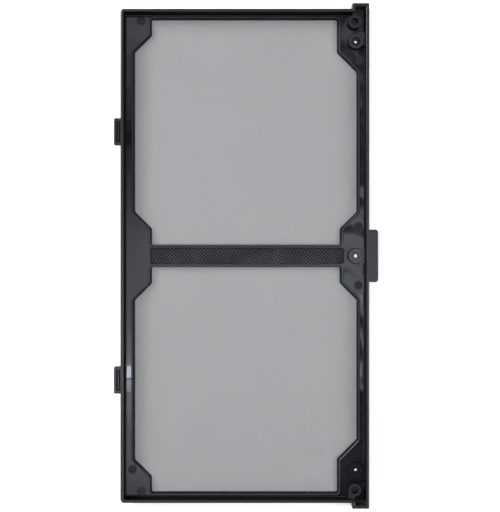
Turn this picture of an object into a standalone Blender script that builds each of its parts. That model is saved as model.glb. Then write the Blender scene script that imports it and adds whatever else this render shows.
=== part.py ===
"""Dust filter for two fans side by side: a moulded frame with two windows and the net set in it.

It lies on its front face with the tray side up. X runs across it, from the clips to the pull
tab. Y runs along it, Z is up, and the origin is under the middle of the whole part. Sizes are in
metres.
"""

from math import atan2, cos, pi, sin, tan

import bmesh
import bpy
from mathutils import Vector

# Rim and floor of the frame
FRAME_LENGTH = 0.2870
FRAME_WIDTH = 0.1445
FRAME_DEPTH = 0.0100
RIM_WALL = 0.0019
CORNER_RADIUS = 0.0021
RIM_ROUND = 0.0006
FRONT_ROUND = 0.0004
FLOOR_FILLET = 0.0006

# The head is the strip on the pull side that is longer than the rest of the frame
HEAD_WIDTH = 0.0100
HEAD_OVERHANG = 0.0033
HEAD_CORNER_RADIUS = 0.0008
STEP_CORNER_RADIUS = 0.0004

# The floor is a base, a slot for the net and a cover, which stands back from the base's windows
BASE_THICKNESS = 0.0008
BASE_BEVEL = 0.0002
COVER_THICKNESS = 0.0007
COVER_SETBACK = 0.0009
BAR_SETBACK = 0.0002

# Flanges between the rim and the windows, and the bar between the windows
CLIP_FLANGE = 0.0056
HEAD_FLANGE = 0.0047
END_FLANGE = 0.0029
CROSSBAR_WIDTH = 0.0132
LIP_WIDTH = 0.0010
LIP_HEIGHT = 0.0006
LIP_BEVEL = 0.00035
BAR_RIB_WIDTH = 0.0015
WINDOW_CORNER_RADIUS = 0.0008
GUSSET_RADIUS = 0.0016

# Gussets: how far each reaches into a window, and its straight edge before the 45 degree slope
CLIP_GUSSET_REACH = 0.0100
CLIP_GUSSET_STRAIGHT = 0.0091
MIDDLE_GUSSET_REACH = 0.0098
MIDDLE_GUSSET_STRAIGHT = 0.0095
HEAD_GUSSET_REACH = 0.0115
HEAD_GUSSET_STRAIGHT = 0.0192

# Pilot bosses and blind sockets on the head side
BOSS_RADIUS = 0.0046
BOSS_HEIGHT = 0.0026
BOSS_BEVEL = 0.0003
BOSS_WALL_GAP = 0.0008
BOSS_SOCKET_GAP = 0.0026
BOSS_WEB_WIDTH = 0.0076
END_WEB_SHIFT = 0.0014
PILOT_RADIUS = 0.0010
COUNTERBORE_RADIUS = 0.0026
COUNTERBORE_DEPTH = 0.0006
SOCKET_RADIUS = 0.0038
SOCKET_HEIGHT = 0.0046
SOCKET_WALL_GAP = 0.0012
SOCKET_SIDE_GAP = 0.0025
SOCKET_BORE_RADIUS = 0.0022
SOCKET_BORE_DEPTH = 0.0040
SOCKET_WEB_WIDTH = 0.0030

# Clips
CLIP_LENGTH = 0.0157
CLIP_REACH = 0.0038
CLIP_HEIGHT = 0.0065
CLIP_SPACING = 0.1442
CLIP_RADIUS = 0.0009
CLIP_ROUND = 0.0004
CLIP_LEAD_IN = 0.0014
CLIP_WALL = 0.0015
CLIP_END_WALL = 0.0018
CLIP_POCKET_DEPTH = 0.0040
CLIP_RIB_WIDTH = 0.0007
CLIP_RIB_LENGTH = 0.0100
CLIP_RIB_DROP = 0.0003

# Shallow pad in the floor behind each clip, split by a groove that ends in a notch in the lip
PAD_LENGTH = 0.0152
PAD_WIDTH = 0.0030
PAD_WALL_GAP = 0.0005
PAD_DEPTH = 0.00025
GROOVE_WIDTH = 0.0004
GROOVE_DEPTH = 0.0003
NOTCH_WIDTH = 0.0018
NOTCH_REACH = 0.0009

# Pull tab
TAB_LENGTH = 0.0305
TAB_REACH = 0.0052
TAB_THICKNESS = 0.0024
TAB_RADIUS = 0.0018
TAB_ROUND = 0.0006

# Round marks that the ejector pins leave in the floor, and their gaps to the walls and bosses
EJECTOR_RADIUS = 0.0026
EJECTOR_DEPTH = 0.00012
EJECTOR_WALL_GAP = 0.0010
EJECTOR_BOSS_GAP = 0.0038
EJECTOR_MIDDLE_GAP = 0.0012
EJECTOR_CORNER_GAP = 0.0070
EJECTOR_SIDE_GAP = 0.0017
EJECTOR_END_GAP = 0.0136

# Small nicks in the outer edge of the rim, by their distance from the clip side
NICK_WIDTH = 0.0009
NICK_DEPTH = 0.00035
TOP_NICK_PLACE = 0.0215
BOTTOM_NICK_PLACE = 0.1020

# Net: a wall with gaps, with a ridge for each bundle of threads
NET_THICKNESS = 0.0003
NET_RIDGE = 0.00008
NET_CLEARANCE = 0.0003
NET_GRIP = 0.0013
NET_GAP = 0.0112
NET_COLUMNS = 8
NET_ROWS = 7
RIDGE_WIDTH = 0.0016

ARC_STEPS = 5
ROUND_STEPS = 3
ROUND_SIDES = 40
OVERLAP = 0.0005

# Levels and edges that follow from the sizes
net_bottom = BASE_THICKNESS + NET_CLEARANCE
net_top = net_bottom + NET_THICKNESS
slot_top = net_top + NET_CLEARANCE
floor_top = slot_top + COVER_THICKNESS
lip_top = floor_top + LIP_HEIGHT

clip_side = (CLIP_REACH - TAB_REACH - FRAME_WIDTH) / 2
head_side = clip_side + FRAME_WIDTH
frame_end = FRAME_LENGTH / 2
head_end = frame_end + HEAD_OVERHANG
clip_wall_inside = clip_side + RIM_WALL
head_wall_inside = head_side - RIM_WALL
end_wall_inside = frame_end - RIM_WALL

window_clip_edge = clip_wall_inside + CLIP_FLANGE
window_head_edge = head_wall_inside - HEAD_FLANGE
window_inner_edge = CROSSBAR_WIDTH / 2
cover_inner_edge = window_inner_edge - BAR_SETBACK
window_outer_edge = end_wall_inside - END_FLANGE
net_margin = COVER_SETBACK + NET_GRIP

socket_x = head_wall_inside - SOCKET_SIDE_GAP - SOCKET_RADIUS
socket_y = end_wall_inside - SOCKET_WALL_GAP - SOCKET_RADIUS
boss_x = head_wall_inside - BOSS_WALL_GAP - BOSS_RADIUS
end_boss_y = socket_y - SOCKET_RADIUS - BOSS_SOCKET_GAP - BOSS_RADIUS


def outline_points(corners):
    """Points of a closed outline given by its corners (x, y, radius), each corner an arc."""
    points = []
    for index, (x, y, radius) in enumerate(corners):
        corner = Vector((x, y))
        before = (Vector(corners[index - 1][:2]) - corner).normalized()
        after = (Vector(corners[(index + 1) % len(corners)][:2]) - corner).normalized()
        half = before.angle(after) / 2
        centre = corner + (before + after).normalized() * radius / sin(half)
        start = corner + before * radius / tan(half) - centre
        end = corner + after * radius / tan(half) - centre
        first = atan2(start.y, start.x)
        sweep = (atan2(end.y, end.x) - first + pi) % (2 * pi) - pi
        for step in range(ARC_STEPS + 1):
            angle = first + sweep * step / ARC_STEPS
            points.append((centre.x + radius * cos(angle), centre.y + radius * sin(angle)))
    return points


def offset(corners, distance):
    """The same outline moved outwards, with its arcs still concentric. It runs anticlockwise."""
    least_radius = STEP_CORNER_RADIUS / 2
    moved = []
    for index, (x, y, radius) in enumerate(corners):
        corner = Vector((x, y))
        arriving = (corner - Vector(corners[index - 1][:2])).normalized()
        leaving = (Vector(corners[(index + 1) % len(corners)][:2]) - corner).normalized()
        normal_in = Vector((arriving.y, -arriving.x))
        normal_out = Vector((leaving.y, -leaving.x))
        place = corner + (normal_in + normal_out) * distance / (1 + normal_in.dot(normal_out))
        convex = arriving.cross(leaving) > 0
        grown = radius + distance if convex else radius - distance
        moved.append((place.x, place.y, max(grown, least_radius)))
    return moved


def circle(x, y, radius):
    angles = [2 * pi * step / ROUND_SIDES for step in range(ROUND_SIDES)]
    return [(x + radius * cos(angle), y + radius * sin(angle)) for angle in angles]


def loft(name, sections):
    """A closed solid through sections (points, height), each with as many points as the next."""
    mesh = bpy.data.meshes.new(name)
    shape = bmesh.new()
    rings = [[shape.verts.new((x, y, z)) for x, y in points] for points, z in sections]
    for low, high in zip(rings, rings[1:]):
        for index in range(len(low)):
            following = (index + 1) % len(low)
            shape.faces.new((low[index], low[following], high[following], high[index]))
    shape.faces.new(reversed(rings[0]))
    shape.faces.new(rings[-1])
    shape.to_mesh(mesh)
    shape.free()
    solid = bpy.data.objects.new(name, mesh)
    bpy.context.scene.collection.objects.link(solid)
    return solid


def prism(name, points, bottom, top):
    return loft(name, [(points, bottom), (points, top)])


def bevelled(name, corners, bottom, top, bevel):
    """A plate on an outline, with its top edge bevelled."""
    full = outline_points(corners)
    return loft(name, [(full, bottom), (full, top - bevel), (outline_points(offset(corners, -bevel)), top)])


def rounded_edge(radius):
    """How far each section of a quarter round is drawn in, and how far it lies from the face."""
    angles = [pi / 2 * step / ROUND_STEPS for step in range(ROUND_STEPS + 1)]
    return [(radius * (1 - sin(angle)), radius * (1 - cos(angle))) for angle in angles]


def boxes(name, sides):
    """One mesh of separate boxes, each given as (left, right, front, back, bottom, top)."""
    mesh = bpy.data.meshes.new(name)
    shape = bmesh.new()
    for left, right, front, back, bottom, top in sides:
        made = bmesh.ops.create_cube(shape, size=1)["verts"]
        for vert in made:
            vert.co.x = right if vert.co.x > 0 else left
            vert.co.y = back if vert.co.y > 0 else front
            vert.co.z = top if vert.co.z > 0 else bottom
    shape.to_mesh(mesh)
    shape.free()
    solid = bpy.data.objects.new(name, mesh)
    bpy.context.scene.collection.objects.link(solid)
    return solid


def combine(body, tool, operation):
    """Adds a live Boolean to the body and hides the tool."""
    tool.hide_render = True
    tool.display_type = "WIRE"
    modifier = body.modifiers.new(tool.name, "BOOLEAN")
    modifier.operation = operation
    modifier.solver = "EXACT"
    modifier.object = tool


def join(body, tool):
    combine(body, tool, "UNION")


def cut(body, tool):
    combine(body, tool, "DIFFERENCE")


def plastic(name, colour, roughness):
    material = bpy.data.materials.new(name)
    material.use_nodes = True
    shader = material.node_tree.nodes["Principled BSDF"]
    shader.inputs["Base Color"].default_value = (*colour, 1)
    shader.inputs["Roughness"].default_value = roughness
    shader.inputs["Metallic"].default_value = 0
    return material


def finish(solid, material):
    solid.data.materials.append(material)
    solid.data.shade_smooth()
    solid.data.set_sharp_from_angle(angle=pi / 6)


def frame_outline():
    """Outside of the rim, anticlockwise, stepping out at both ends of the head."""
    step_x = head_side - HEAD_WIDTH
    return [
        (clip_side, -frame_end, CORNER_RADIUS),
        (step_x, -frame_end, STEP_CORNER_RADIUS),
        (step_x, -head_end, HEAD_CORNER_RADIUS),
        (head_side, -head_end, HEAD_CORNER_RADIUS),
        (head_side, head_end, HEAD_CORNER_RADIUS),
        (step_x, head_end, HEAD_CORNER_RADIUS),
        (step_x, frame_end, STEP_CORNER_RADIUS),
        (clip_side, frame_end, CORNER_RADIUS),
    ]


def gusset_edges():
    """Half of the window edge, from the crossbar to the end: the head side, then the clip side."""
    head_middle = window_head_edge - MIDDLE_GUSSET_REACH
    head_outer = window_head_edge - HEAD_GUSSET_REACH
    clip_inner = window_clip_edge + CLIP_GUSSET_REACH
    middle_straight = window_inner_edge + MIDDLE_GUSSET_STRAIGHT
    head_straight = window_outer_edge - HEAD_GUSSET_STRAIGHT
    clip_straight = window_outer_edge - CLIP_GUSSET_STRAIGHT
    head_edge = [
        (head_middle, middle_straight, GUSSET_RADIUS),
        (window_head_edge, middle_straight + MIDDLE_GUSSET_REACH, GUSSET_RADIUS),
        (window_head_edge, head_straight - HEAD_GUSSET_REACH, GUSSET_RADIUS),
        (head_outer, head_straight, GUSSET_RADIUS),
        (head_outer, window_outer_edge, WINDOW_CORNER_RADIUS),
    ]
    clip_edge = [
        (clip_inner, middle_straight, GUSSET_RADIUS),
        (window_clip_edge, middle_straight + CLIP_GUSSET_REACH, GUSSET_RADIUS),
        (window_clip_edge, clip_straight - CLIP_GUSSET_REACH, GUSSET_RADIUS),
        (clip_inner, clip_straight, GUSSET_RADIUS),
        (clip_inner, window_outer_edge, WINDOW_CORNER_RADIUS),
    ]
    return head_edge, clip_edge


def mirrored(corners):
    return [(x, -y, radius) for x, y, radius in corners]


def window_outline(end):
    """Edge of the window towards the given end, 1 or -1, anticlockwise."""
    head_edge, clip_edge = gusset_edges()
    bar_corners = [
        (clip_edge[0][0], window_inner_edge, WINDOW_CORNER_RADIUS),
        (head_edge[0][0], window_inner_edge, WINDOW_CORNER_RADIUS),
    ]
    corners = bar_corners + head_edge + clip_edge[::-1]
    return corners if end > 0 else mirrored(corners)[::-1]


def net_outline():
    """Edge of both windows and the crossbar between them, anticlockwise."""
    head_edge, clip_edge = gusset_edges()
    return mirrored(head_edge)[::-1] + head_edge + clip_edge[::-1] + mirrored(clip_edge)


def add_rim_and_floor():
    """The tray: a block on the rim's outline, hollowed down to the floor, with rounded edges."""
    outside = frame_outline()
    front = [
        (outline_points(offset(outside, -draw_in)), rise) for draw_in, rise in rounded_edge(FRONT_ROUND)
    ]
    back = [
        (outline_points(offset(outside, -draw_in)), FRAME_DEPTH - drop)
        for draw_in, drop in reversed(rounded_edge(RIM_ROUND))
    ]
    block = loft("filter_frame", front + back)
    inside = offset(outside, -RIM_WALL)
    fillet = [
        (outline_points(offset(inside, -draw_in)), floor_top + rise)
        for draw_in, rise in rounded_edge(FLOOR_FILLET)
    ]
    mouth = [
        (outline_points(offset(inside, draw_in)), FRAME_DEPTH - drop)
        for draw_in, drop in reversed(rounded_edge(RIM_ROUND))
    ]
    above = [(mouth[-1][0], FRAME_DEPTH + OVERLAP)]
    cut(block, loft("tray_cutter", fillet + mouth + above))
    return block


def cover_outline(end):
    """Edge of the cover's opening: set back from the window, but little at the crossbar."""
    corners = offset(window_outline(end), COVER_SETBACK)
    if end > 0:
        return [(x, max(y, cover_inner_edge), radius) for x, y, radius in corners]
    return [(x, min(y, -cover_inner_edge), radius) for x, y, radius in corners]


def add_windows(frame):
    """Raises a lip round each opening, cuts the windows, then the slot that the net sits in."""
    for end, side in ((1, "upper"), (-1, "lower")):
        around = offset(cover_outline(end), LIP_WIDTH)
        join(frame, bevelled(f"{side}_lip", around, slot_top, lip_top, LIP_BEVEL))
    for end, side in ((1, "upper"), (-1, "lower")):
        outline = window_outline(end)
        edge = outline_points(outline)
        flared = outline_points(offset(outline, BASE_BEVEL))
        window = loft(
            f"{side}_window_cutter",
            [(flared, -OVERLAP), (flared, 0), (edge, BASE_BEVEL), (edge, net_top)],
        )
        cut(frame, window)
        outline = cover_outline(end)
        edge = outline_points(outline)
        flared = outline_points(offset(outline, LIP_BEVEL))
        opening = loft(
            f"{side}_cover_cutter",
            [(edge, net_bottom), (edge, lip_top - LIP_BEVEL), (flared, lip_top), (flared, lip_top + OVERLAP)],
        )
        cut(frame, opening)
    slot = outline_points(offset(net_outline(), net_margin + NET_CLEARANCE))
    cut(frame, prism("net_slot_cutter", slot, BASE_THICKNESS, slot_top))


def open_crossbar(frame):
    """Bares the net on the crossbar, between the two lips and as far as the middle boss."""
    head_edge, clip_edge = gusset_edges()
    half_width = cover_inner_edge - BAR_RIB_WIDTH
    clip_end = clip_edge[0][0] - COVER_SETBACK
    head_end_wide = head_edge[0][0] + COVER_SETBACK
    head_end_narrow = boss_x - BOSS_RADIUS - BOSS_BEVEL
    neck = half_width - min(head_end_narrow - head_end_wide, half_width / 2)
    bar = [
        (clip_end, -half_width, WINDOW_CORNER_RADIUS),
        (head_end_wide, -half_width, WINDOW_CORNER_RADIUS),
        (head_end_narrow, -neck, WINDOW_CORNER_RADIUS),
        (head_end_narrow, neck, WINDOW_CORNER_RADIUS),
        (head_end_wide, half_width, WINDOW_CORNER_RADIUS),
        (clip_end, half_width, WINDOW_CORNER_RADIUS),
    ]
    cut(frame, prism("crossbar_cutter", outline_points(bar), slot_top - OVERLAP, lip_top + OVERLAP))


def add_boss(frame, name, y, web_shift):
    """A low round boss with a web to the rim, a counterbore and a pilot hole right through."""
    top = floor_top + BOSS_HEIGHT
    low = floor_top - COVER_THICKNESS / 2
    disc = loft(
        f"{name}_boss",
        [
            (circle(boss_x, y, BOSS_RADIUS), low),
            (circle(boss_x, y, BOSS_RADIUS), top - BOSS_BEVEL),
            (circle(boss_x, y, BOSS_RADIUS - BOSS_BEVEL), top),
        ],
    )
    web_front = y + web_shift - BOSS_WEB_WIDTH / 2
    web_back = y + web_shift + BOSS_WEB_WIDTH / 2
    web_end = head_wall_inside + OVERLAP
    web_top = top - BOSS_BEVEL
    join(frame, disc)
    join(frame, boxes(f"{name}_boss_web", [(boss_x, web_end, web_front, web_back, low, web_top)]))
    counterbore = circle(boss_x, y, COUNTERBORE_RADIUS)
    cut(frame, prism(f"{name}_counterbore_cutter", counterbore, top - COUNTERBORE_DEPTH, top + OVERLAP))
    cut(frame, prism(f"{name}_pilot_cutter", circle(boss_x, y, PILOT_RADIUS), -OVERLAP, top + OVERLAP))


def add_socket(frame, name, end):
    """A blind socket with a web to the end wall. The one at the lower end is squared off."""
    top = floor_top + SOCKET_HEIGHT
    low = floor_top - COVER_THICKNESS / 2
    y = end * socket_y
    wall_y = end * (end_wall_inside + OVERLAP)
    join(frame, prism(f"{name}_socket", circle(socket_x, y, SOCKET_RADIUS), low, top))
    if end > 0:
        left, right = socket_x - SOCKET_WEB_WIDTH / 2, socket_x + SOCKET_WEB_WIDTH / 2
    else:
        left, right = socket_x - SOCKET_RADIUS, socket_x
    front, back = sorted((y, wall_y))
    join(frame, boxes(f"{name}_socket_web", [(left, right, front, back, low, top - BOSS_BEVEL)]))
    bore = circle(socket_x, y, SOCKET_BORE_RADIUS)
    cut(frame, prism(f"{name}_socket_cutter", bore, top - SOCKET_BORE_DEPTH, top + OVERLAP))


def add_clip(frame, name, y):
    """A clip on the long side: rounded outside, led in from below, with a ribbed pocket."""
    half = CLIP_LENGTH / 2
    outer = clip_side - CLIP_REACH
    inner = clip_side + RIM_WALL / 2
    bottom = FRAME_DEPTH - CLIP_HEIGHT

    def outline(draw_in):
        return outline_points(
            [
                (outer + draw_in, -half + y + draw_in, CLIP_RADIUS),
                (inner, -half + y + draw_in, STEP_CORNER_RADIUS),
                (inner, half + y - draw_in, STEP_CORNER_RADIUS),
                (outer + draw_in, half + y - draw_in, CLIP_RADIUS),
            ]
        )

    lead_in = [(outline(CLIP_LEAD_IN), bottom), (outline(0), bottom + CLIP_LEAD_IN)]
    back = [
        (outline(draw_in), FRAME_DEPTH - drop) for draw_in, drop in reversed(rounded_edge(CLIP_ROUND))
    ]
    join(frame, loft(f"{name}_clip", lead_in + back))
    pocket_left = outer + CLIP_WALL
    pocket_half = half - CLIP_END_WALL
    pocket_bottom = FRAME_DEPTH - CLIP_POCKET_DEPTH
    above = FRAME_DEPTH + OVERLAP
    pocket = (pocket_left, clip_side, y - pocket_half, y + pocket_half, pocket_bottom, above)
    cut(frame, boxes(f"{name}_clip_pocket_cutter", [pocket]))
    rib_left = (pocket_left + clip_side - CLIP_RIB_WIDTH) / 2
    rib_right = rib_left + CLIP_RIB_WIDTH
    rib_half = CLIP_RIB_LENGTH / 2
    rib_top = FRAME_DEPTH - CLIP_RIB_DROP
    rib = (rib_left, rib_right, y - rib_half, y + rib_half, pocket_bottom - OVERLAP, rib_top)
    join(frame, boxes(f"{name}_clip_rib", [rib]))


def add_pad(frame, name, y):
    """The shallow pad behind a clip, with its groove and the notch in the lip."""
    left = clip_wall_inside + PAD_WALL_GAP
    right = left + PAD_WIDTH
    half = PAD_LENGTH / 2
    level = floor_top - PAD_DEPTH
    above = lip_top + OVERLAP
    cut(frame, boxes(f"{name}_pad_cutter", [(left, right, y - half, y + half, level, above)]))
    groove = (left, right, y - GROOVE_WIDTH / 2, y + GROOVE_WIDTH / 2, level - GROOVE_DEPTH, above)
    cut(frame, boxes(f"{name}_groove_cutter", [groove]))
    notch = [
        (right - OVERLAP, y - NOTCH_WIDTH / 2),
        (right + NOTCH_REACH, y),
        (right - OVERLAP, y + NOTCH_WIDTH / 2),
    ]
    cut(frame, prism(f"{name}_notch_cutter", notch, level, above))


def add_tab(frame):
    """The pull tab, flush with the top of the rim."""
    half = TAB_LENGTH / 2
    inner = head_side - RIM_WALL / 2
    outer = head_side + TAB_REACH
    bottom = FRAME_DEPTH - TAB_THICKNESS

    def outline(draw_in):
        return outline_points(
            [
                (inner, -half + draw_in, STEP_CORNER_RADIUS),
                (outer - draw_in, -half + draw_in, TAB_RADIUS),
                (outer - draw_in, half - draw_in, TAB_RADIUS),
                (inner, half - draw_in, STEP_CORNER_RADIUS),
            ]
        )

    front = [(outline(draw_in), bottom + rise) for draw_in, rise in rounded_edge(TAB_ROUND)]
    back = [
        (outline(draw_in), FRAME_DEPTH - drop) for draw_in, drop in reversed(rounded_edge(TAB_ROUND))
    ]
    join(frame, loft("pull_tab", front + back))


def mark_ejectors(frame):
    """Shallow round marks: along the head wall, in the clip-side corners and by the lower one."""
    head_x = head_wall_inside - EJECTOR_RADIUS - EJECTOR_WALL_GAP
    corner_x = clip_wall_inside + EJECTOR_RADIUS + EJECTOR_CORNER_GAP
    corner_y = end_wall_inside - EJECTOR_RADIUS - EJECTOR_WALL_GAP
    middle_y = window_inner_edge + MIDDLE_GUSSET_STRAIGHT + EJECTOR_MIDDLE_GAP
    side_x = clip_wall_inside + EJECTOR_RADIUS + EJECTOR_SIDE_GAP
    side_y = end_wall_inside - EJECTOR_RADIUS - EJECTOR_END_GAP
    places = {
        "head": (head_x, end_boss_y - BOSS_RADIUS - EJECTOR_RADIUS - EJECTOR_BOSS_GAP),
        "upper_middle": (head_x, middle_y),
        "lower_middle": (head_x, -middle_y),
        "upper_corner": (corner_x, corner_y),
        "lower_corner": (corner_x, -corner_y),
        "lower_side": (side_x, -side_y),
    }
    for name, (x, y) in places.items():
        mark = circle(x, y, EJECTOR_RADIUS)
        cut(frame, prism(f"{name}_ejector_cutter", mark, floor_top - EJECTOR_DEPTH, floor_top + OVERLAP))


def nick_rim(frame, name, x, end):
    """A small V-shaped nick in the outer edge of an end wall, at the top of the rim."""
    tip = end * (frame_end - NICK_DEPTH)
    mouth = end * (frame_end + OVERLAP)
    corners = [(x - NICK_WIDTH / 2, mouth), (x, tip), (x + NICK_WIDTH / 2, mouth)]
    if end < 0:
        corners.reverse()
    cut(frame, prism(f"{name}_nick_cutter", corners, FRAME_DEPTH - 2 * RIM_ROUND, FRAME_DEPTH + OVERLAP))


def add_frame():
    frame = add_rim_and_floor()
    add_windows(frame)
    open_crossbar(frame)
    add_boss(frame, "middle", 0, 0)
    for name, end in (("upper", 1), ("lower", -1)):
        add_boss(frame, name, end * end_boss_y, end * END_WEB_SHIFT)
        add_socket(frame, name, end)
        add_clip(frame, name, end * CLIP_SPACING / 2)
        add_pad(frame, name, end * CLIP_SPACING / 2)
    add_tab(frame)
    mark_ejectors(frame)
    nick_rim(frame, "top", clip_side + TOP_NICK_PLACE, 1)
    nick_rim(frame, "bottom", clip_side + BOTTOM_NICK_PLACE, -1)
    finish(frame, plastic("black_plastic", (0.014, 0.015, 0.017), 0.36))
    return frame


def inside(x, y, points):
    """Whether a place lies inside a closed outline."""
    crossings = 0
    for (x1, y1), (x2, y2) in zip(points, points[1:] + points[:1]):
        if (y1 > y) != (y2 > y) and x < x1 + (x2 - x1) * (y - y1) / (y2 - y1):
            crossings += 1
    return crossings % 2 == 1


def net_gaps():
    """Centres of the gaps: an even grid in each window, without those that would reach its edge."""
    column_pitch = (window_head_edge - window_clip_edge) / NET_COLUMNS
    row_pitch = (window_outer_edge - window_inner_edge) / NET_ROWS
    columns = [window_clip_edge + column_pitch * (column + 0.5) for column in range(NET_COLUMNS)]
    rows = [window_inner_edge + row_pitch * (row + 0.5) for row in range(NET_ROWS)]
    edge = outline_points(window_outline(1))
    half = NET_GAP / 2
    corners = [(-half, -half), (half, -half), (half, half), (-half, half)]
    kept = [
        (x, y)
        for x in columns
        for y in rows
        if all(inside(x + along, y + across, edge) for along, across in corners)
    ]
    return kept + [(x, -y) for x, y in kept], columns, rows


def ridges(name, centres, axis, bottom, top):
    """Ridges halfway between neighbouring gaps, across or along, trimmed inside the net's edge."""
    spread = sorted(centres)
    middles = [(low + high) / 2 for low, high in zip(spread, spread[1:])]
    half = RIDGE_WIDTH / 2
    reach = FRAME_LENGTH
    if axis == 0:
        sides = [(middle - half, middle + half, -reach, reach, bottom, top) for middle in middles]
    else:
        sides = [(-reach, reach, middle - half, middle + half, bottom, top) for middle in middles]
    bars = boxes(f"{name}_ridges", sides)
    trimmer = outline_points(offset(net_outline(), COVER_SETBACK))
    combine(bars, prism(f"{name}_trimmer", trimmer, bottom - OVERLAP, top + OVERLAP), "INTERSECT")
    return bars


def add_net():
    """The net: a wall with gaps, ridges of warp on its top and of weft on its underside."""
    edge = outline_points(offset(net_outline(), net_margin))
    wall_bottom = net_bottom + NET_RIDGE
    wall_top = net_top - NET_RIDGE
    net = prism("dust_net", edge, wall_bottom, wall_top)
    centres, columns, rows = net_gaps()
    wall_middle = (wall_bottom + wall_top) / 2
    join(net, ridges("warp", columns, 0, wall_middle, net_top))
    join(net, ridges("weft", rows + [-row for row in rows], 1, net_bottom, wall_middle))
    half_gap = NET_GAP / 2
    gaps = [
        (x - half_gap, x + half_gap, y - half_gap, y + half_gap, net_bottom - OVERLAP, net_top + OVERLAP)
        for x, y in centres
    ]
    cut(net, boxes("net_gap_cutters", gaps))
    finish(net, plastic("black_nylon", (0.014, 0.015, 0.017), 0.40))
    return net


for old in list(bpy.data.objects):
    bpy.data.objects.remove(old)
add_frame()
add_net()
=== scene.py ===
"""Looks of the fan dust filter: its moulded frame, its woven net and the studio around them."""

from math import radians

import bmesh
import bpy
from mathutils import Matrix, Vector

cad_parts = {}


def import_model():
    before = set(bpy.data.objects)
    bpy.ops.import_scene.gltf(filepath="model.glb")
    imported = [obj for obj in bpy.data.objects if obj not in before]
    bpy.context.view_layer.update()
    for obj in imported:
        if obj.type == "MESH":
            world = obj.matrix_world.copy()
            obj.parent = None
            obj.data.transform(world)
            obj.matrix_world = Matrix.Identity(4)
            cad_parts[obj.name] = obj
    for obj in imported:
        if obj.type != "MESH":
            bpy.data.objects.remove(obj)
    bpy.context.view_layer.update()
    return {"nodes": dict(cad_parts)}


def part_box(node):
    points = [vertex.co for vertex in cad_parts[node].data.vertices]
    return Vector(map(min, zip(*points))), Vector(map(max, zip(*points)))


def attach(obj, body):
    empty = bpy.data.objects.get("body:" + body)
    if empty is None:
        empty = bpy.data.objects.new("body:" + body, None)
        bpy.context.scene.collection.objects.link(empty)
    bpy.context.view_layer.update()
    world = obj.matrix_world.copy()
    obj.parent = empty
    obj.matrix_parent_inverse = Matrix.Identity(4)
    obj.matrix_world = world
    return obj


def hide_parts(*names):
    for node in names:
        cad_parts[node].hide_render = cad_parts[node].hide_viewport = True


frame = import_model()

# The net: straight warp threads along Y, and weft threads across them that pass over and under
WARP_PITCH = 0.00046
WEFT_PITCH = 0.000505
WARP_DIAMETER = 0.000145
WARP_SIDES = 4
WEFT_DIAMETER = 0.000155
WEFT_SIDES = 3
WEFT_SWING = 0.00012
NET_PANELS = 6

# Colours of the plastic and the nylon. The plastic has clouds of a darker and a lighter shade
BLACK_PLASTIC = (0.0080, 0.0090, 0.0110)
CLOUD_SHADES = (0.8, 1.2)
# Painted shade: the darker colour of slopes, grooves and the floor under the net
PAINTED_SHADE_PLASTIC = (0.0035, 0.0040, 0.0050)
# Painted sheen on the rim's top and a painted highlight on the lips: lighter greys that stand in
# for the light they catch
PAINTED_RIM_SHEEN = (0.0135, 0.0140, 0.0150)
PAINTED_LIP_HIGHLIGHT = (0.050, 0.052, 0.056)
BLACK_NYLON = (0.009, 0.010, 0.012)
# The lighter nylon is a painted glint, for the light checks of the net
PAINTED_GLINT_NYLON = (0.240, 0.252, 0.272)

# Noise in the surfaces: the size of its grains, its finer layers and how strong each of them is
CLOUD_NOISE = (0.0045, 3, 0.55)
GRAIN_NOISE = (0.00016, 2, 0.6)
WAVE_NOISE = (0.015, 1, 0.4)
THREAD_NOISE = (0.012, 3, 0.55)

# Fine grain of the plastic, and waves of its floor, which grow from this X towards the pull tab
GRAIN_HEIGHT = 0.00001
GRAIN_STRENGTH = 0.25
WAVE_HEIGHT = 0.0010
WAVY_BELOW = 0.0045
WAVES_START = 0.030
WAVES_GROW = 0.025
WAVES_ELSEWHERE = 0.2

# Roughness, and how much the places in painted shade and the unglinted checks of the net mirror
SATIN_ROUGHNESS = 0.17
ROUGHER_IN_CLOUDS = 0.05
ROUGHER_IN_GRAIN = 0.03
SMOOTHER_AT_TAB = 0.07
PAD_ROUGHNESS = 0.15
POLISH = 0.08
EDGE_ROUGHNESS = 0.28
EJECTOR_ROUGHNESS = 0.50
PAINTED_SHADE_ROUGHNESS = 0.60
PAINTED_SHADE_SPECULAR = 0.06
THREAD_ROUGHNESS = 0.34
UNGLINTED_ROUGHNESS = 0.60
UNGLINTED_SPECULAR = 0.10

# The frame's mesh: corners this close are one, and a sharper turn than this stays an edge
WELD_DISTANCE = 0.000001
SHARP_ANGLE = radians(32)

# The plastic is satin where it faces straight up or down, and in painted shade where its normal
# tilts: a darker, duller copy of it stands in for the shade on slopes. The normal's Z for painted
# shade and for satin, on the rim's edge and the lips, and on the floor
EDGE_SLOPES = (0.55, 0.90)
FLOOR_SLOPES = (0.93, 0.99)

# The outer walls, outside these places and below the rim's round, are satin too, without painted
# shade
OUTER_LEFT = -0.0728
OUTER_RIGHT = 0.0714
OUTER_ENDS = 0.1433
RIM_ROUND_START = 0.0092

# The rim's edge lies above the first level, and each detail of the floor between its own two
EDGE_LEVEL = 0.0055
LIP_LEVELS = (0.0026, 0.0032)
UNDER_NET = (0.0003, 0.0012)
GROOVE_LEVELS = (0.0018, 0.0020)
PAD_LEVELS = (0.0020, 0.0022)
EJECTOR_LEVELS = (0.0022, 0.00234)

# The pads behind the clips are polished up to their groove and again at their far end
PAD_EDGE = -0.0675
PAD_MIDDLE = 0.0718
PAD_END = 0.0790

# Painted glints on the net: light and dark checks that stand in for the light its crossings catch,
# fainter in the windows than on the crossbar between them
GLINT_CHECK_WIDTH = 0.00105
GLINT_CHECK_LENGTH = 0.00092
GLINT_CHECK_IN_WINDOWS = 0.60
CROSSBAR_HALF = 0.0050

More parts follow.
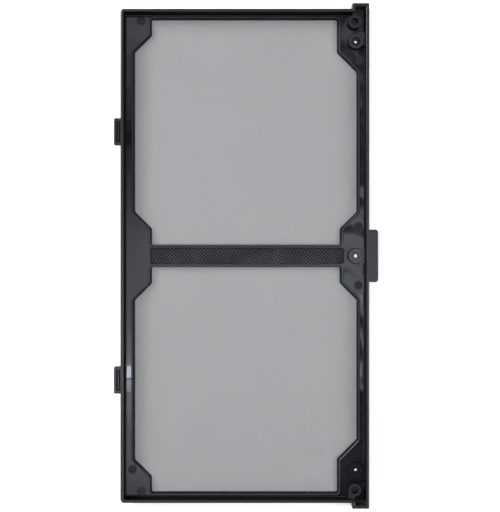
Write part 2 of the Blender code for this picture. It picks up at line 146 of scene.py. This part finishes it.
# The camera looks straight down: how far below it the rim is, the middle of its picture, and how
# much of the length the picture takes in at the rim's level
CAMERA_DISTANCE = 0.600
CAMERA_CENTRE = (0.00226, -0.00006)
IMAGE_HEIGHT = 0.29696
SENSOR_HEIGHT = 36

# The floor glows for the camera, which keeps it white: less under the net, and from this far out
# more and more, up to full white
FLOOR_SIZE = 8
FLOOR_GAP = 0.0002
FLOOR_WHITE = 0.86
FLOOR_GLOW = 0.36
GLOW_UNDER_NET = 0.22
NET_REACH = (0.066, 0.142)
FAR_FLOOR = 0.35
FAR_FADE = 0.40

# The floor glows full white in spots under the pilot holes, painted light that shows through them
PILOT_X = 0.06425
PILOT_Y = (-0.1256, 0, 0.1256)
PILOT_REACH = 0.0025

# Light of the room, from 0 level with the floor to 1 straight above: height, brightness, colour
WHITE = (1, 1, 1)
ROOM_COLOUR = (0.96, 0.98, 1.0)
CEILING_COLOUR = (0.86, 0.92, 1.0)
ROOM_LIGHT = (
    (0.15, 0.35, ROOM_COLOUR),
    (0.40, 0.45, ROOM_COLOUR),
    (0.75, 0.45, ROOM_COLOUR),
    (0.90, 0.10, CEILING_COLOUR),
)

# Lamps beside the frame, which face its middle: place, size and brightness
SIDE_LAMPS = {
    "left": ((-1.15, 0.70, 0.75), (0.70, 0.70), 18),
    "right": ((1.15, -0.30, 1.00), (0.80, 0.80), 6.2),
}

# Lamps that the plastic mirrors, level over the floor: place, size and brightness
LAMP_HEIGHT = 1.2
CEILING_LAMPS = {
    "middle_strip": ((0, 0), (0.70, 0.16), 1.75),
    "lower_left_box": ((-0.18, -0.345), (0.26, 0.17), 2.15),
    "upper_left_box": ((-0.19, 0.395), (0.26, 0.09), 2.9),
    "upper_right_box": ((0.20, 0.36), (0.10, 0.14), 1.1),
    "lower_left_spot": ((-0.205, -0.199), (0.10, 0.08), 12),
    "lower_right_spot": ((0.20, -0.150), (0.05, 0.07), 9),
    "right_line": ((0.255, 0.0), (0.03, 0.24), 5),
}


class Signal:
    """An output socket that Python expressions can be written with."""

    def __init__(self, tree, socket):
        self.tree = tree
        self.socket = socket

    def maths(self, operation, *values):
        return self.tree.maths(operation, *values)

    def __add__(self, other):
        return self.maths("ADD", self, other)

    def __sub__(self, other):
        return self.maths("SUBTRACT", self, other)

    def __mul__(self, other):
        return self.maths("MULTIPLY", self, other)

    def __truediv__(self, other):
        return self.maths("DIVIDE", self, other)

    def __mod__(self, other):
        return self.maths("FLOORED_MODULO", self, other)

    def __gt__(self, other):
        return self.maths("GREATER_THAN", self, other)

    def __lt__(self, other):
        return self.maths("LESS_THAN", self, other)

    def __abs__(self):
        return self.maths("ABSOLUTE", self)

    def __radd__(self, other):
        return self.maths("ADD", other, self)

    def __rsub__(self, other):
        return self.maths("SUBTRACT", other, self)

    def __rmul__(self, other):
        return self.maths("MULTIPLY", other, self)


class Tree:
    """A node tree, of a material, the world or a Geometry Nodes modifier."""

    def __init__(self, tree):
        self.tree = tree
        tree.nodes.clear()

    def give(self, socket, value):
        """Links a signal to a socket or sets its value. A colour is opaque."""
        if isinstance(value, Signal):
            self.tree.links.new(value.socket, socket)
        elif socket.type == "RGBA":
            socket.default_value = (*value, 1)
        else:
            socket.default_value = value

    def place(self, kind, settings=None, inputs=None):
        """Adds a node: its settings first, then a value or a link for each named socket.

        A list links several signals to one socket.
        """
        node = self.tree.nodes.new(kind)
        for name, value in (settings or {}).items():
            if name == "stops":
                ramp = node.color_ramp.elements
                while len(ramp) < len(value):
                    ramp.new(1)
                for stop, (position, colour) in zip(ramp, value):
                    stop.position = position
                    stop.color = (*colour, 1)
            else:
                setattr(node, name, value)
        for name, value in (inputs or {}).items():
            for part in value if isinstance(value, list) else [value]:
                self.give(node.inputs[name], part)
        return node

    def node(self, kind, settings=None, inputs=None, output=0):
        """Adds a node and gives one of its outputs."""
        return Signal(self, self.place(kind, settings, inputs).outputs[output])

    def maths(self, operation, *values):
        return self.node("ShaderNodeMath", {"operation": operation}, dict(enumerate(values)))

    def clamped(self, value):
        """The value, kept between 0 and 1."""
        settings = {"operation": "ADD", "use_clamp": True}
        return self.node("ShaderNodeMath", settings, {0: value, 1: 0})


def new_material(name):
    material = bpy.data.materials.new(name)
    material.use_nodes = True
    return material, Tree(material.node_tree)


def finish_material(tree, shader):
    tree.place("ShaderNodeOutputMaterial", {}, {"Surface": shader})


def tinted(brightness, colour):
    """The colour at this share of its brightness."""
    return tuple(brightness * part for part in colour)


def noise(tree, place, size, detail, rough):
    """Noise of about 0 to 1 whose grains are this many metres across."""
    return tree.node(
        "ShaderNodeTexNoise",
        {"noise_dimensions": "3D"},
        {"Vector": place, "Scale": 1 / size, "Detail": detail, "Roughness": rough},
    )


def mixed(tree, factor, first, second):
    """The first colour where the factor is 0, and the second where it is 1."""
    colours = {6: first, 7: second}
    return tree.node("ShaderNodeMix", {"data_type": "RGBA"}, {0: factor, **colours}, output=2)


def split(tree, vector):
    """The X, Y and Z of a vector."""
    parts = tree.place("ShaderNodeSeparateXYZ", {}, {0: vector})
    return [Signal(tree, output) for output in parts.outputs]


def joined(tree, x, y, z):
    """A vector from its X, Y and Z."""
    return tree.node("ShaderNodeCombineXYZ", {}, {0: x, 1: y, 2: z})


def between(limits, value):
    """1 where the value lies between the two limits."""
    low, high = limits
    return (value > low) * (value < high)


def on_lip(z):
    """1 on top of the lips round the windows."""
    return between(LIP_LEVELS, z)


def edges(z):
    """1 on the rim's edge and on top of the lips, which are painted lighter: painted sheen on the
    rim and a painted highlight on the lips.
    """
    return (z > EDGE_LEVEL) + on_lip(z)


def unshaded_places(tree, x, y, z):
    """1 where the plastic is satin and 0 where it is in painted shade: inner slopes, grooves, under
    the net.
    """
    facing = abs(split(tree, tree.node("ShaderNodeNewGeometry", output="Normal"))[2])
    on_edge, on_floor = (
        tree.clamped((facing - painted_shade) / (satin - painted_shade))
        for painted_shade, satin in (EDGE_SLOPES, FLOOR_SLOPES)
    )
    unshaded = on_floor + edges(z) * (on_edge - on_floor)
    notch = between(PAD_LEVELS, z) * (x > PAD_EDGE)
    recess = notch + between(GROOVE_LEVELS, z) + between(UNDER_NET, z)
    inner = unshaded * (1 - tree.clamped(recess))
    outside = tree.clamped((x < OUTER_LEFT) + (x > OUTER_RIGHT) + (abs(y) > OUTER_ENDS))
    return inner + outside * (z < RIM_ROUND_START) * (1 - inner)


def moulded_plastic():
    """Black moulded plastic: satin and a little wavy where it lies flat, in painted shade
    elsewhere, with a painted sheen on the rim's top and a painted highlight on the lips.
    """
    material, tree = new_material("moulded_black_plastic")
    place = tree.node("ShaderNodeTexCoord", output="Object")
    x, y, z = split(tree, place)
    along = abs(y)
    polished = (along < PAD_MIDDLE) + (along > PAD_END)
    pad = between(PAD_LEVELS, z)
    ejector = between(EJECTOR_LEVELS, z)
    towards_tab = tree.clamped((x - WAVES_START) / WAVES_GROW)
    wave_share = WAVES_ELSEWHERE + (1 - WAVES_ELSEWHERE) * towards_tab
    waves = noise(tree, place, *WAVE_NOISE) * wave_share * (z < WAVY_BELOW)
    grain = noise(tree, place, *GRAIN_NOISE)
    clouds = noise(tree, place, *CLOUD_NOISE)
    dark, light = (tinted(shade, BLACK_PLASTIC) for shade in CLOUD_SHADES)
    # Painted sheen on the rim's top, and a painted highlight on top of the lips
    colour = mixed(tree, z > EDGE_LEVEL, mixed(tree, clouds, dark, light), PAINTED_RIM_SHEEN)
    colour = mixed(tree, on_lip(z), colour, PAINTED_LIP_HIGHLIGHT)
    wavy = tree.node(
        "ShaderNodeBump", {}, {"Strength": 1.0, "Distance": WAVE_HEIGHT, "Height": waves}
    )
    grainy = tree.node(
        "ShaderNodeBump",
        {},
        {
            "Strength": GRAIN_STRENGTH,
            "Distance": GRAIN_HEIGHT,
            "Height": grain * (1 - pad),
            "Normal": wavy,
        },
    )
    roughness = SATIN_ROUGHNESS + ROUGHER_IN_CLOUDS * clouds + ROUGHER_IN_GRAIN * grain
    roughness = roughness - SMOOTHER_AT_TAB * towards_tab
    for where, other in (
        (pad, PAD_ROUGHNESS),
        (pad * polished, POLISH),
        (ejector, EJECTOR_ROUGHNESS),
        (edges(z), EDGE_ROUGHNESS),
    ):
        roughness = roughness + where * (other - roughness)
    satin = tree.node(
        "ShaderNodeBsdfPrincipled",
        {},
        {"Base Color": colour, "Roughness": roughness, "Normal": grainy},
    )
    # Painted shade: a darker, duller copy of the plastic on slopes, grooves and under the net
    painted_shade = tree.node(
        "ShaderNodeBsdfPrincipled",
        {},
        {
            "Base Color": PAINTED_SHADE_PLASTIC,
            "Roughness": PAINTED_SHADE_ROUGHNESS,
            "Specular IOR Level": PAINTED_SHADE_SPECULAR,
            "Normal": grainy,
        },
    )
    unshaded = unshaded_places(tree, x, y, z)
    finish_material(tree, tree.node("ShaderNodeMixShader", {}, {0: unshaded, 1: painted_shade, 2: satin}))
    return material


def nylon_thread():
    """Black nylon monofilament with painted glints: a fine check of lighter colour that stands in
    for the light its crossings catch.
    """
    material, tree = new_material("black_nylon_thread")
    place = tree.node("ShaderNodeTexCoord", output="Object")
    x, y, z = split(tree, place)
    column = tree.maths("FLOOR", x / GLINT_CHECK_WIDTH)
    row = tree.maths("FLOOR", y / GLINT_CHECK_LENGTH)
    glint_check = (column + row) % 2
    clouds = noise(tree, place, *THREAD_NOISE)
    share = GLINT_CHECK_IN_WINDOWS + (1 - GLINT_CHECK_IN_WINDOWS) * (abs(y) < CROSSBAR_HALF)
    colour = mixed(tree, clouds, BLACK_NYLON, PAINTED_GLINT_NYLON)
    painted_glint = tree.node(
        "ShaderNodeBsdfPrincipled", {}, {"Base Color": colour, "Roughness": THREAD_ROUGHNESS}
    )
    unglinted = tree.node(
        "ShaderNodeBsdfPrincipled",
        {},
        {
            "Base Color": BLACK_NYLON,
            "Roughness": UNGLINTED_ROUGHNESS,
            "Specular IOR Level": UNGLINTED_SPECULAR,
        },
    )
    # Painted glints: the threads are lighter and shinier in every other check
    glint_checked = tree.node("ShaderNodeMixShader", {}, {0: glint_check * share, 1: unglinted, 2: painted_glint})
    finish_material(tree, glint_checked)
    return material


def plain_mesh(holder):
    """The mesh that an object's modifiers make, without the object."""
    bpy.context.view_layer.update()
    finished = holder.evaluated_get(bpy.context.evaluated_depsgraph_get())
    mesh = bpy.data.meshes.new_from_object(finished)
    bpy.data.objects.remove(holder)
    return mesh


def moulded_frame(material):
    """The CAD frame with its faces welded and its round places shaded smooth."""
    mesh = frame["nodes"]["filter_frame"].data.copy()
    shape = bmesh.new()
    shape.from_mesh(mesh)
    bmesh.ops.remove_doubles(shape, verts=shape.verts, dist=WELD_DISTANCE)
    shape.to_mesh(mesh)
    shape.free()
    if mesh.has_custom_normals:
        mesh.attributes.remove(mesh.attributes["custom_normal"])
    mesh.shade_smooth()
    mesh.set_sharp_from_angle(angle=SHARP_ANGLE)
    mesh.materials.clear()
    mesh.materials.append(material)
    holder = bpy.data.objects.new("flat_faces", mesh)
    bpy.context.scene.collection.objects.link(holder)
    weighting = holder.modifiers.new("flat_faces", "WEIGHTED_NORMAL")
    weighting.keep_sharp = True
    piece = bpy.data.objects.new("moulded_frame", plain_mesh(holder))
    bpy.context.scene.collection.objects.link(piece)
    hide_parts("filter_frame")
    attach(piece, "root")


NET_INPUTS = {
    "Net": "NodeSocketObject",
    "Corner": "NodeSocketVector",
    "Reach": "NodeSocketFloat",
    "Columns": "NodeSocketInt",
    "First row": "NodeSocketInt",
    "Rows": "NodeSocketInt",
    "Warp pitch": "NodeSocketFloat",
    "Weft pitch": "NodeSocketFloat",
    "Warp diameter": "NodeSocketFloat",
    "Weft diameter": "NodeSocketFloat",
    "Weft swing": "NodeSocketFloat",
    "Material": "NodeSocketMaterial",
}


def edge_of_net(tree, sizes, y, side):
    """Where a line from one side along X first meets the net: whether it does, and at which x."""
    start = joined(tree, side * sizes["Reach"], y, split(tree, sizes["Corner"])[2])
    target = tree.node("GeometryNodeObjectInfo", {}, {"Object": sizes["Net"]}, output="Geometry")
    ray = tree.place(
        "GeometryNodeRaycast",
        {},
        {
            "Target Geometry": target,
            "Source Position": start,
            "Ray Direction": (-side, 0, 0),
            "Ray Length": 2 * sizes["Reach"],
        },
    )
    hit = Signal(tree, ray.outputs["Hit Position"])
    return Signal(tree, ray.outputs["Is Hit"]), split(tree, hit)[0]


def thread_lines(tree, sizes, rows, swing, along):
    """Lines over the crossings, one for each thread, trimmed to the net's outline.

    They run along X where along is 0 and along Y where it is 1.
    """
    grid = tree.node(
        "GeometryNodeMeshGrid", {}, {"Vertices X": sizes["Columns"], "Vertices Y": rows}
    )
    number = tree.node("GeometryNodeInputIndex")
    row = number % rows
    column = (number - row) / rows
    down = (column + row + sizes["First row"]) % 2
    corner_x, corner_y, corner_z = split(tree, sizes["Corner"])
    x = corner_x + column * sizes["Warp pitch"]
    y = corner_y + (row + sizes["First row"]) * sizes["Weft pitch"]
    z = corner_z + swing * (1 - 2 * down)
    laid = tree.node(
        "GeometryNodeSetPosition", {}, {"Geometry": grid, "Position": joined(tree, x, y, z)}
    )
    here = split(tree, tree.node("GeometryNodeInputPosition"))
    on_left, left = edge_of_net(tree, sizes, here[1], -1)
    on_right, right = edge_of_net(tree, sizes, here[1], 1)
    within = on_left * on_right * (here[0] > left) * (here[0] < right)
    trimmed = tree.node(
        "GeometryNodeDeleteGeometry",
        {"domain": "POINT"},
        {"Geometry": laid, "Selection": within < 0.5},
    )
    ends = tree.place("GeometryNodeInputMeshEdgeVertices")
    first, second = (
        split(tree, Signal(tree, ends.outputs[name])) for name in ("Position 1", "Position 2")
    )
    crossing = abs(first[1 - along] - second[1 - along]) > sizes["Weft diameter"]
    lines = tree.node(
        "GeometryNodeDeleteGeometry",
        {"domain": "EDGE", "mode": "EDGE_FACE"},
        {"Geometry": trimmed, "Selection": crossing},
    )
    return tree.node("GeometryNodeMeshToCurve", {}, {"Mesh": lines})


def tubes(tree, curves, diameter, sides):
    """Closed threads along the curves."""
    upright = tree.node("GeometryNodeSetCurveNormal", {"mode": "Z_UP"}, {"Curve": curves})
    profile = tree.node(
        "GeometryNodeCurvePrimitiveCircle", {}, {"Resolution": sides, "Radius": diameter / 2}
    )
    return tree.node(
        "GeometryNodeCurveToMesh",
        {},
        {"Curve": upright, "Profile Curve": profile, "Fill Caps": True},
    )


def net_tree():
    """Geometry Nodes for a panel of plain weave, trimmed to the net's own outline."""
    group = bpy.data.node_groups.new("plain_weave", "GeometryNodeTree")
    for name, kind in NET_INPUTS.items():
        group.interface.new_socket(name=name, in_out="INPUT", socket_type=kind)
    group.interface.new_socket(name="Geometry", in_out="OUTPUT", socket_type="NodeSocketGeometry")
    tree = Tree(group)
    given = tree.place("NodeGroupInput")
    sizes = {name: Signal(tree, given.outputs[name]) for name in NET_INPUTS}
    warp_lines = thread_lines(tree, sizes, sizes["Rows"] + 1, 0, 1)
    straight = tree.node("GeometryNodeResampleCurve", {}, {"Curve": warp_lines, "Count": 2})
    warp = tubes(tree, straight, sizes["Warp diameter"], WARP_SIDES)
    weft_lines = thread_lines(tree, sizes, sizes["Rows"], sizes["Weft swing"], 0)
    weft = tubes(tree, weft_lines, sizes["Weft diameter"], WEFT_SIDES)
    both = tree.node("GeometryNodeJoinGeometry", {}, {"Geometry": [warp, weft]})
    smooth = tree.node("GeometryNodeSetShadeSmooth", {}, {"Geometry": both})
    real = tree.node("GeometryNodeRealizeInstances", {}, {"Geometry": smooth})
    made = tree.node(
        "GeometryNodeSetMaterial", {}, {"Geometry": real, "Material": sizes["Material"]}
    )
    tree.place("NodeGroupOutput", {}, {"Geometry": made})
    return group


def grown(name, group, given):
    """A plain mesh from a Geometry Nodes group with these inputs."""
    holder = bpy.data.objects.new(name, bpy.data.meshes.new(name))
    bpy.context.scene.collection.objects.link(holder)
    modifier = holder.modifiers.new(name, "NODES")
    modifier.node_group = group
    for item in group.interface.items_tree:
        if item.in_out == "INPUT":
            modifier[item.identifier] = given[item.name]
    return plain_mesh(holder)


def woven_net(material):
    """The net as real threads, in panels that meet thread end to thread end."""
    low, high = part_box("dust_net")
    columns = int((high.x - low.x) / WARP_PITCH)
    rows = int((high.y - low.y) / WEFT_PITCH)
    corner = (low + high) / 2
    corner.x -= (columns - 1) * WARP_PITCH / 2
    corner.y -= (rows - 1) * WEFT_PITCH / 2
    given = {
        "Net": frame["nodes"]["dust_net"],
        "Corner": corner,
        "Reach": 2 * high.x,
        "Columns": columns,
        "Warp pitch": WARP_PITCH,
        "Weft pitch": WEFT_PITCH,
        "Warp diameter": WARP_DIAMETER,
        "Weft diameter": WEFT_DIAMETER,
        "Weft swing": WEFT_SWING,
        "Material": material,
    }
    group = net_tree()
    for panel in range(NET_PANELS):
        first = rows * panel // NET_PANELS
        count = rows * (panel + 1) // NET_PANELS - first
        mesh = grown("weave", group, {**given, "First row": first, "Rows": count})
        piece = bpy.data.objects.new(f"net_panel_{panel + 1}", mesh)
        bpy.context.scene.collection.objects.link(piece)
        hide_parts("dust_net")
        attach(piece, "root")


def floor():
    """A white floor that takes the shadow and stays white beside it."""
    material, tree = new_material("white_floor")
    path = tree.place("ShaderNodeLightPath")
    camera_ray, glossy_ray, clear_ray = (
        Signal(tree, path.outputs[f"Is {kind} Ray"])
        for kind in ("Camera", "Glossy", "Transmission")
    )
    seen = tree.clamped(camera_ray + glossy_ray + clear_ray)
    x, y, z = split(tree, tree.node("ShaderNodeTexCoord", output="Object"))
    # Painted light: spots of full-white glow on the floor under the pilot holes
    first_hole, second_hole, third_hole = (abs(y - hole) < PILOT_REACH for hole in PILOT_Y)
    holes = (first_hole + second_hole + third_hole) * (abs(x - PILOT_X) < PILOT_REACH)
    under_net = (abs(x) < NET_REACH[0]) * (abs(y) < NET_REACH[1])
    top = 1 - tree.node("ShaderNodeNewGeometry", output="Backfacing")
    far = tree.clamped((tree.maths("SQRT", x * x + y * y) - FAR_FLOOR) / FAR_FADE)
    light = FLOOR_GLOW - (FLOOR_GLOW - GLOW_UNDER_NET) * under_net * top
    light = light + tree.clamped(holes * top + far) * (1 - light)
    paint = tree.node("ShaderNodeBsdfDiffuse", {}, {"Color": tinted(FLOOR_WHITE, WHITE)})
    glow = tree.node("ShaderNodeEmission", {}, {"Color": seen * light, "Strength": 1.0})
    finish_material(tree, tree.node("ShaderNodeAddShader", {}, {0: paint, 1: glow}))
    bpy.ops.mesh.primitive_plane_add(size=FLOOR_SIZE, location=(0, 0, -FLOOR_GAP))
    plane = bpy.context.object
    plane.name = "floor"
    plane.data.materials.append(material)


def world():
    """Pale walls round a darker ceiling and horizon, behind a white background."""
    bpy.context.scene.world = bpy.data.worlds.new("studio")
    bpy.context.scene.world.use_nodes = True
    tree = Tree(bpy.context.scene.world.node_tree)
    way = tree.node("ShaderNodeTexCoord", output="Generated")
    up = split(tree, way)[2]
    stops = [(height, tinted(light, colour)) for height, light, colour in ROOM_LIGHT]
    colour = tree.node("ShaderNodeValToRGB", {"stops": stops}, {0: up})
    seen = tree.node("ShaderNodeLightPath", output="Is Camera Ray")
    room = tree.node(
        "ShaderNodeBackground", {}, {"Color": mixed(tree, seen, colour, WHITE), "Strength": 1.0}
    )
    tree.place("ShaderNodeOutputWorld", {}, {"Surface": room})


def lamp(name, place, target, size, brightness, colour):
    """A soft lamp that faces its target. Its brightness holds for each part of its face."""
    data = bpy.data.lights.new(name, "AREA")
    data.shape = "RECTANGLE"
    data.size, data.size_y = size
    data.energy = 4 * brightness * size[0] * size[1]
    data.color = colour
    light = bpy.data.objects.new(name, data)
    light.location = place
    light.rotation_euler = (Vector(target) - Vector(place)).to_track_quat("-Z", "Y").to_euler()
    light.visible_camera = False
    bpy.context.scene.collection.objects.link(light)


def camera():
    """The camera above the frame."""
    data = bpy.data.cameras.new("camera")
    data.sensor_fit = "VERTICAL"
    data.sensor_height = SENSOR_HEIGHT
    data.lens = SENSOR_HEIGHT * CAMERA_DISTANCE / IMAGE_HEIGHT
    eye = bpy.data.objects.new("camera", data)
    eye.location = (*CAMERA_CENTRE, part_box("filter_frame")[1].z + CAMERA_DISTANCE)
    bpy.context.scene.collection.objects.link(eye)
    bpy.context.scene.camera = eye


def studio():
    """Everything round the object: floor, room, lamps and camera."""
    floor()
    world()
    for name, (place, size, brightness) in SIDE_LAMPS.items():
        lamp(name, place, (0, 0, 0), size, brightness, ROOM_COLOUR)
    for name, ((x, y), size, brightness) in CEILING_LAMPS.items():
        lamp(name, (x, y, LAMP_HEIGHT), (x, y, 0), size, brightness, CEILING_COLOUR)
    camera()
    bpy.context.scene.view_settings.view_transform = "Standard"


moulded_frame(moulded_plastic())
woven_net(nylon_thread())
studio()
